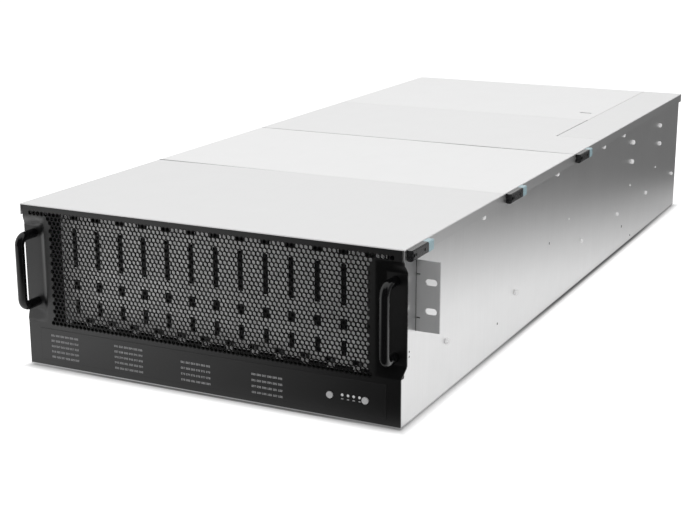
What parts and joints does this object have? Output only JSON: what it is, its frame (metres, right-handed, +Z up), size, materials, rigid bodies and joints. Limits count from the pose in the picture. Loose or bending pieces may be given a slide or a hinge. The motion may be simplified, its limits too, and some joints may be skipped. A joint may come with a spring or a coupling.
{
  "type": "storage array",
  "caption": "Rack storage array: shallow steel chassis with lift-off lids over upright drives, black perforated front with pocketed handles, rear fans, power supplies and slide-in modules.",
  "frame": {"origin": "middle of the underside of the base", "axes": "+Z up, +Y from the front panel to the rear, +X to the right as seen from the front"},
  "size_m": [0.4826, 1.1065, 0.176],
  "materials": {
    "galvanised": "satin",
    "lid_steel": "satin",
    "black_coat": "satin",
    "satin_black": "satin",
    "film": "satin",
    "button_grey": "matte",
    "board": "satin",
    "socket_black": "matte",
    "drive_case": "satin",
    "module_steel": "satin",
    "latch_black": "matte",
    "tab_blue": "matte"
  },
  "bodies": {
    "chassis": {"backplane_rails": "galvanised", "base_pan": "galvanised", "cage_walls": "galvanised", "column_dividers": "galvanised", "control_board": "board", "drive_sockets": "socket_black", "drive_wall": "galvanised", "fan_frames": "socket_black", "front_backplane": "board", "front_drives": "drive_case", "front_grille": "black_coat", "front_handles": "satin_black", "front_panel": "black_coat", "indicator_film": "film", "left_rack_ear": "galvanised", "left_side_panel": "galvanised", "power_bay_cover": "lid_steel", "rear_backplane": "board", "rear_drives": "drive_case", "rear_panel": "galvanised", "rear_shelves": "galvanised", "right_rack_ear": "galvanised", "right_side_panel": "galvanised"},
    "front_lid": {"front_lid": "lid_steel"},
    "middle_lid": {"middle_lid": "lid_steel"},
    "rear_lid": {"rear_lid": "lid_steel"},
    "tail_lid": {"tail_lid": "lid_steel"},
    "front_latch": {"front_latch": "latch_black", "front_latch_tab": "tab_blue"},
    "middle_latch": {"middle_latch": "latch_black", "middle_latch_tab": "tab_blue"},
    "rear_latch": {"rear_latch": "latch_black", "rear_latch_tab": "tab_blue"},
    "power_button": {"power_button": "button_grey"},
    "identify_button": {"identify_button": "button_grey"},
    "fan_rotor_1": {"fan_rotor_1": "socket_black"},
    "fan_rotor_2": {"fan_rotor_2": "socket_black"},
    "fan_rotor_3": {"fan_rotor_3": "socket_black"},
    "fan_rotor_4": {"fan_rotor_4": "socket_black"},
    "lower_supply": {"lower_supply": "module_steel", "lower_supply_handle": "socket_black"},
    "lower_supply_latch": {"lower_supply_latch": "tab_blue"},
    "upper_supply": {"upper_supply": "module_steel", "upper_supply_handle": "socket_black"},
    "upper_supply_latch": {"upper_supply_latch": "tab_blue"},
    "left_io_module": {"left_io_module": "module_steel"},
    "left_io_lever": {"left_io_lever": "socket_black"},
    "right_io_module": {"right_io_module": "module_steel"},
    "right_io_lever": {"right_io_lever": "socket_black"}
  },
  "joints": [
    {"name": "front_lid_lift", "type": "slide", "parent": "chassis", "child": "front_lid", "axis": [0, 0, 1], "range_m": [0, 0.25]},
    {"name": "middle_lid_lift", "type": "slide", "parent": "chassis", "child": "middle_lid", "axis": [0, 0, 1], "range_m": [0, 0.25]},
    {"name": "rear_lid_lift", "type": "slide", "parent": "chassis", "child": "rear_lid", "axis": [0, 0, 1], "range_m": [0, 0.25]},
    {"name": "tail_lid_lift", "type": "slide", "parent": "chassis", "child": "tail_lid", "axis": [0, 0, 1], "range_m": [0, 0.25]},
    {"name": "front_latch_swing", "type": "hinge", "parent": "front_lid", "child": "front_latch", "pos_m": [0.22405, -0.52475, 0.17], "axis": [0, 0, -1], "range_deg": [0, 75]},
    {"name": "middle_latch_swing", "type": "hinge", "parent": "middle_lid", "child": "middle_latch", "pos_m": [0.22405, -0.26075, 0.17], "axis": [0, 0, -1], "range_deg": [0, 75]},
    {"name": "rear_latch_swing", "type": "hinge", "parent": "rear_lid", "child": "rear_latch", "pos_m": [0.22405, -0.01275, 0.17], "axis": [0, 0, -1], "range_deg": [0, 75]},
    {"name": "power_button_press", "type": "slide", "parent": "chassis", "child": "power_button", "axis": [0, 1, 0], "range_m": [0, 0.0012], "stiffness_N_per_m": 500},
    {"name": "identify_button_press", "type": "slide", "parent": "chassis", "child": "identify_button", "axis": [0, 1, 0], "range_m": [0, 0.0012], "stiffness_N_per_m": 500},
    {"name": "fan_rotor_1_spin", "type": "hinge", "parent": "chassis", "child": "fan_rotor_1", "pos_m": [-0.1406, 0.4958, 0.121], "axis": [0, 1, 0], "continuous": true},
    {"name": "fan_rotor_2_spin", "type": "hinge", "parent": "chassis", "child": "fan_rotor_2", "pos_m": [-0.0566, 0.4958, 0.121], "axis": [0, 1, 0], "continuous": true},
    {"name": "fan_rotor_3_spin", "type": "hinge", "parent": "chassis", "child": "fan_rotor_3", "pos_m": [0.0274, 0.4958, 0.121], "axis": [0, 1, 0], "continuous": true},
    {"name": "fan_rotor_4_spin", "type": "hinge", "parent": "chassis", "child": "fan_rotor_4", "pos_m": [0.1114, 0.4958, 0.121], "axis": [0, 1, 0], "continuous": true},
    {"name": "lower_supply_slide", "type": "slide", "parent": "chassis", "child": "lower_supply", "axis": [0, 1, 0], "range_m": [0, 0.26]},
    {"name": "lower_supply_latch_push", "type": "slide", "parent": "lower_supply", "child": "lower_supply_latch", "axis": [-1, 0, 0], "range_m": [0, 0.003], "stiffness_N_per_m": 800},
    {"name": "upper_supply_slide", "type": "slide", "parent": "chassis", "child": "upper_supply", "axis": [0, 1, 0], "range_m": [0, 0.26]},
    {"name": "upper_supply_latch_push", "type": "slide", "parent": "upper_supply", "child": "upper_supply_latch", "axis": [-1, 0, 0], "range_m": [0, 0.003], "stiffness_N_per_m": 800},
    {"name": "left_io_module_slide", "type": "slide", "parent": "chassis", "child": "left_io_module", "axis": [0, 1, 0], "range_m": [0, 0.085]},
    {"name": "left_io_lever_swing", "type": "hinge", "parent": "left_io_module", "child": "left_io_lever", "pos_m": [-0.1826, 0.5336, 0.0215], "axis": [0, 0, 1], "range_deg": [0, 75]},
    {"name": "right_io_module_slide", "type": "slide", "parent": "chassis", "child": "right_io_module", "axis": [0, 1, 0], "range_m": [0, 0.085]},
    {"name": "right_io_lever_swing", "type": "hinge", "parent": "right_io_module", "child": "right_io_lever", "pos_m": [-0.0086, 0.5336, 0.0215], "axis": [0, 0, 1], "range_deg": [0, 75]}
  ]
}
